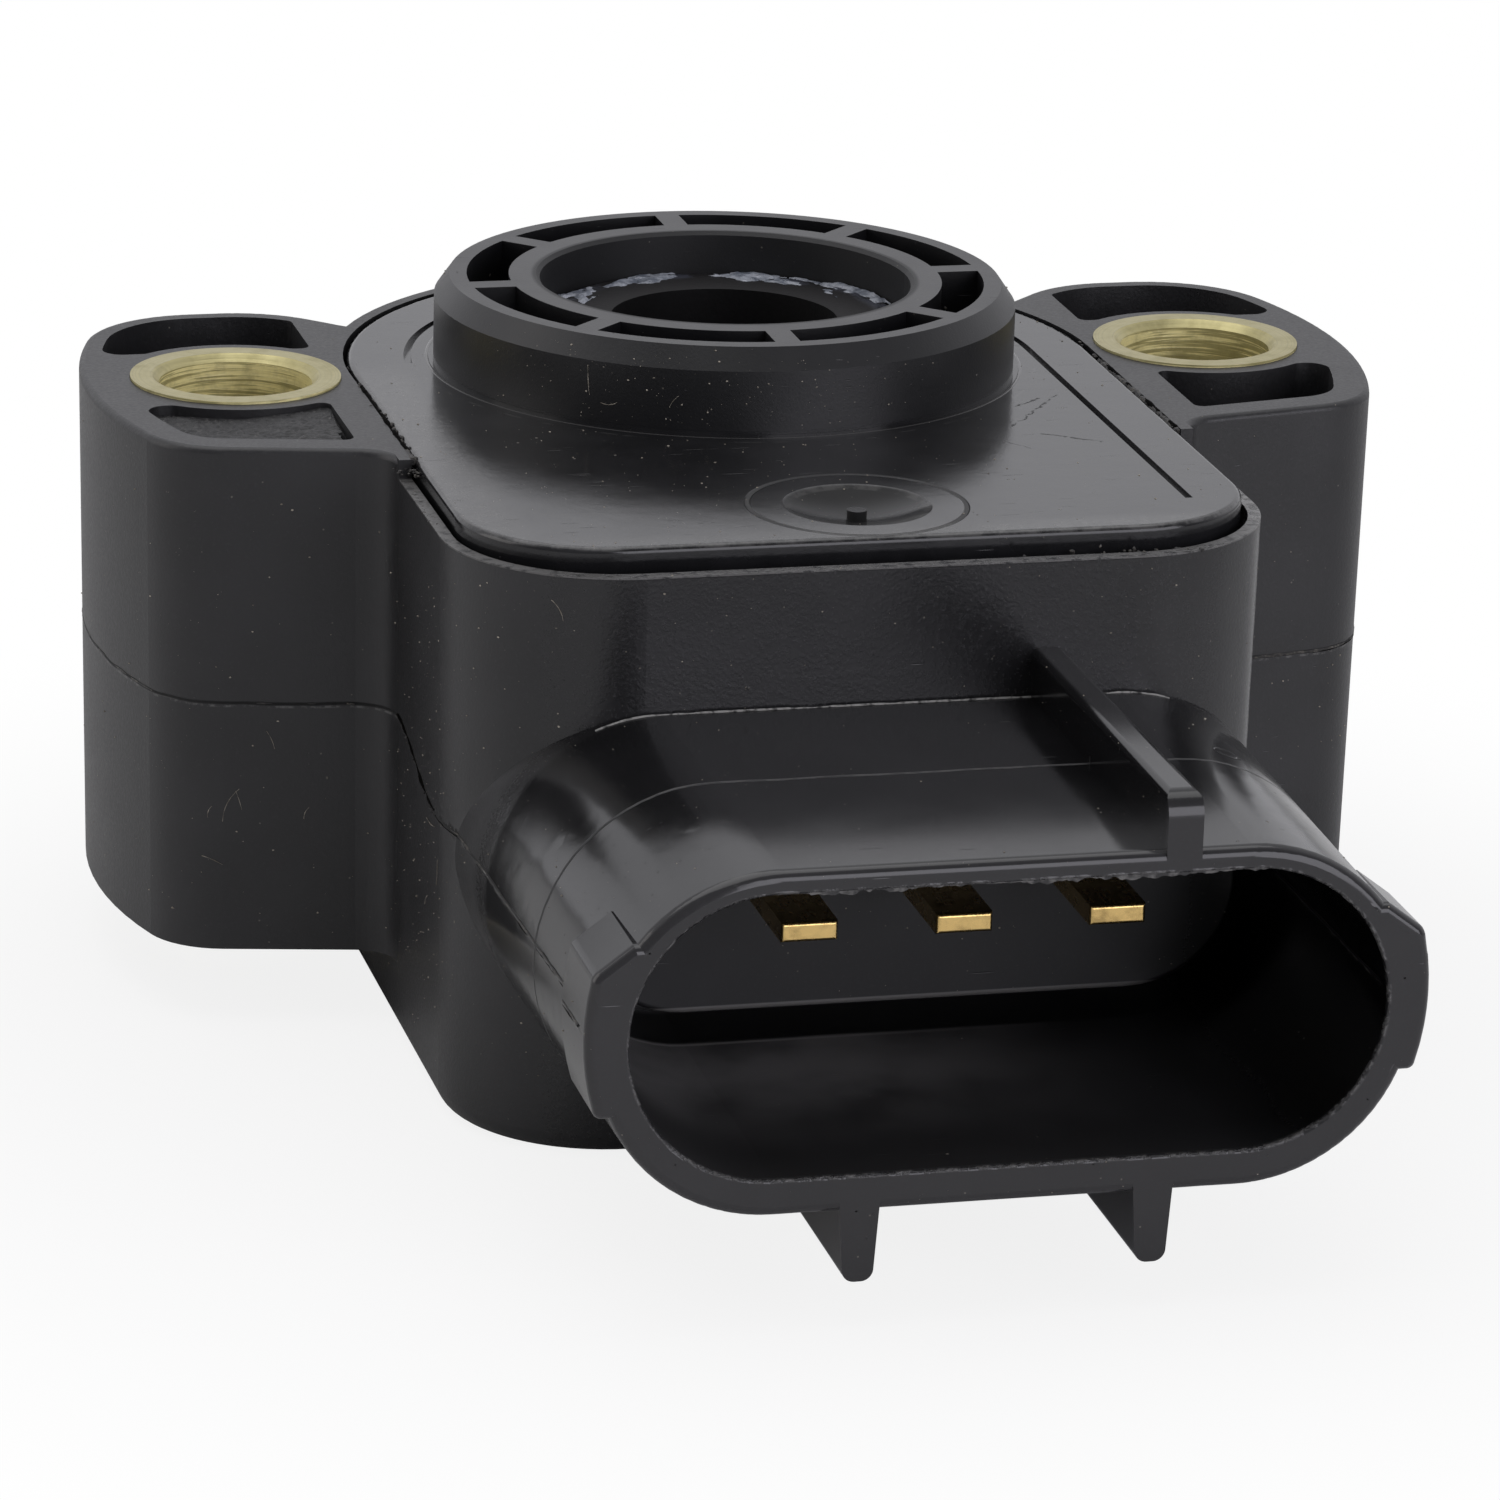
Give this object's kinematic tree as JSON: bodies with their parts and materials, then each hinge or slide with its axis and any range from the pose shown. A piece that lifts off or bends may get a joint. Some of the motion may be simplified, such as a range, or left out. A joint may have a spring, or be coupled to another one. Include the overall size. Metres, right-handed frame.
{
  "type": "throttle position sensor",
  "caption": "Rotary sensor with a moulded housing, a ribbed locating collar round a sprung rotor, brass-sleeved bolt ears and an oval blade connector.",
  "frame": {"origin": "on the rotor's axis, in the plane of the bolt sleeves' upper faces", "axes": "+Z out of the mounting face, +X along the two bolt holes, -Y out of the connector's mouth"},
  "size_m": [0.0522, 0.0609, 0.0269],
  "materials": {
    "housing_plastic": "black glass-filled moulding, fine satin grain",
    "cover_plastic": "black moulding, semi-gloss, scuffed",
    "sleeve_brass": "turned, dull",
    "terminal_plating": "gold-coloured plating",
    "board_ceramic": "fired, with dark printed tracks",
    "rotor_plastic": "dark moulding, greased",
    "contact_metal": "rolled strip",
    "spring_steel": "rolled strip",
    "seal_rubber": "smooth"
  },
  "bodies": {
    "sensor_body": {"housing": "housing_plastic", "cover": "cover_plastic", "left_bush": "sleeve_brass", "right_bush": "sleeve_brass", "ground_terminal": "terminal_plating", "signal_terminal": "terminal_plating", "supply_terminal": "terminal_plating", "element_board": "board_ceramic", "return_spring": "spring_steel", "thrust_washer": "spring_steel"},
    "rotor_body": {"rotor": "rotor_plastic", "wiper": "contact_metal", "rotor_seal": "seal_rubber"}
  },
  "joints": [
    {"name": "rotor_turn", "type": "hinge", "parent": "sensor_body", "child": "rotor_body", "pos_m": [0, 0, 0], "axis": [0, 0, 1], "range_deg": [0, 100], "stiffness_Nm_per_rad": 0.008, "springref_deg": -51.57, "deforming": ["return_spring"]}
  ]
}
